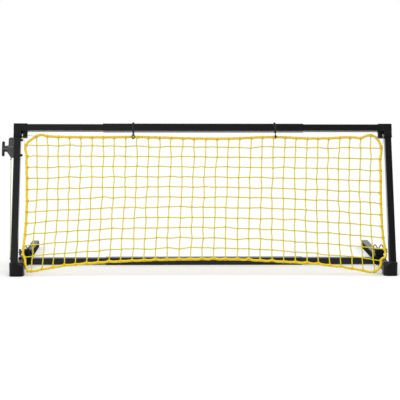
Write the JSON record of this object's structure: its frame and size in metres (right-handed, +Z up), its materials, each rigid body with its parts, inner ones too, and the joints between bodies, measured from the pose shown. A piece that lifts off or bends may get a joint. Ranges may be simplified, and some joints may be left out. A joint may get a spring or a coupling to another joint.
{
  "type": "folding practice goal with a flat net",
  "caption": "Low wide steel-tube practice goal whose netted frame leans back and folds down over its floor feet.",
  "frame": {"origin": "on the floor under the middle of the bottom bar", "axes": "+X to the right of someone who faces the net, +Y to the back, +Z up"},
  "size_m": [1.3043, 0.5158, 0.4858],
  "materials": {
    "frame_paint": "satin black powder coat on steel tube",
    "moulding": "fine-grained black moulding",
    "pivot_moulding": "satin black moulding",
    "zinc": "bright zinc plating",
    "black_hardware": "black-plated steel",
    "spring_steel": "blued spring steel",
    "black_wire": "dark dip-coated steel wire",
    "wing_plastic": "black moulding",
    "bracket_metal": "mid-grey moulding with a worn sheen",
    "knob_plastic": "black moulding with a soft gloss",
    "net_twine": "yellow knotted twine",
    "border_rope": "braided yellow rope",
    "tie_strap": "black webbing",
    "lacing": "thin pale twine",
    "side_cord": "pale yellow braided cord"
  },
  "bodies": {
    "base": {"bottom_sleeve": "frame_paint", "bottom_tube_left": "frame_paint", "bottom_tube_right": "frame_paint", "foot_tube_left": "frame_paint", "foot_cap_left": "moulding", "pivot_block_left": "pivot_moulding", "pivot_pin_left": "zinc", "block_screw_left": "zinc", "junction_bracket_left": "moulding", "wing_bolt_left": "black_hardware", "wire_hook_left": "black_wire", "foot_tube_right": "frame_paint", "foot_cap_right": "moulding", "pivot_block_right": "pivot_moulding", "pivot_pin_right": "zinc", "block_screw_right": "zinc", "junction_bracket_right": "moulding", "wing_bolt_right": "black_hardware", "wire_hook_right": "black_wire"},
    "frame": {"top_sleeve": "frame_paint", "top_tube_left": "frame_paint", "top_tube_right": "frame_paint", "post_left": "frame_paint", "elbow_left": "moulding", "elbow_screws_left": "zinc", "net_tie_left": "tie_strap", "corner_lace_top_left": "lacing", "corner_lace_bottom_left": "lacing", "post_right": "frame_paint", "elbow_right": "moulding", "elbow_screws_right": "zinc", "net_tie_right": "tie_strap", "corner_lace_top_right": "lacing", "corner_lace_bottom_right": "lacing", "cord_bracket": "bracket_metal", "clamp_bolts": "black_hardware", "clamp_nuts": "black_hardware", "cord_anchor": "knob_plastic", "side_cord": "side_cord", "net": "net_twine", "border_rope": "border_rope"},
    "knob": {"cord_knob": "knob_plastic"},
    "wing_nut_left": {"wing_nut_left": "wing_plastic"},
    "wing_nut_right": {"wing_nut_right": "wing_plastic"},
    "bottom_button_left": {"bottom_button_left": "zinc", "bottom_spring_left": "spring_steel"},
    "bottom_button_right": {"bottom_button_right": "zinc", "bottom_spring_right": "spring_steel"},
    "top_button_left": {"top_button_left": "zinc", "top_spring_left": "spring_steel"},
    "top_button_right": {"top_button_right": "zinc", "top_spring_right": "spring_steel"}
  },
  "joints": [
    {"name": "frame_fold", "type": "hinge", "parent": "base", "child": "frame", "pos_m": [0, -0.172, 0.037], "axis": [-1, 0, 0], "range_deg": [0, 54]},
    {"name": "knob_turn", "type": "hinge", "parent": "frame", "child": "knob", "pos_m": [-0.66, -0.03964, 0.40066], "axis": [-1, 0, 0], "range_deg": [0, 360]},
    {"name": "wing_nut_turn_left", "type": "hinge", "parent": "base", "child": "wing_nut_left", "pos_m": [-0.62, 0, 0.043], "axis": [-1, 0, 0], "range_deg": [0, 360]},
    {"name": "wing_nut_turn_right", "type": "hinge", "parent": "base", "child": "wing_nut_right", "pos_m": [0.62, 0, 0.043], "axis": [1, 0, 0], "range_deg": [0, 360]},
    {"name": "bottom_button_press_left", "type": "slide", "parent": "base", "child": "bottom_button_left", "axis": [0, -1, 0], "range_m": [0, 0.004], "stiffness_N_per_m": 2500},
    {"name": "bottom_button_press_right", "type": "slide", "parent": "base", "child": "bottom_button_right", "axis": [0, -1, 0], "range_m": [0, 0.004], "stiffness_N_per_m": 2500},
    {"name": "top_button_press_left", "type": "slide", "parent": "frame", "child": "top_button_left", "axis": [0, -0.9397, 0.342], "range_m": [0, 0.004], "stiffness_N_per_m": 2500},
    {"name": "top_button_press_right", "type": "slide", "parent": "frame", "child": "top_button_right", "axis": [0, -0.9397, 0.342], "range_m": [0, 0.004], "stiffness_N_per_m": 2500}
  ]
}
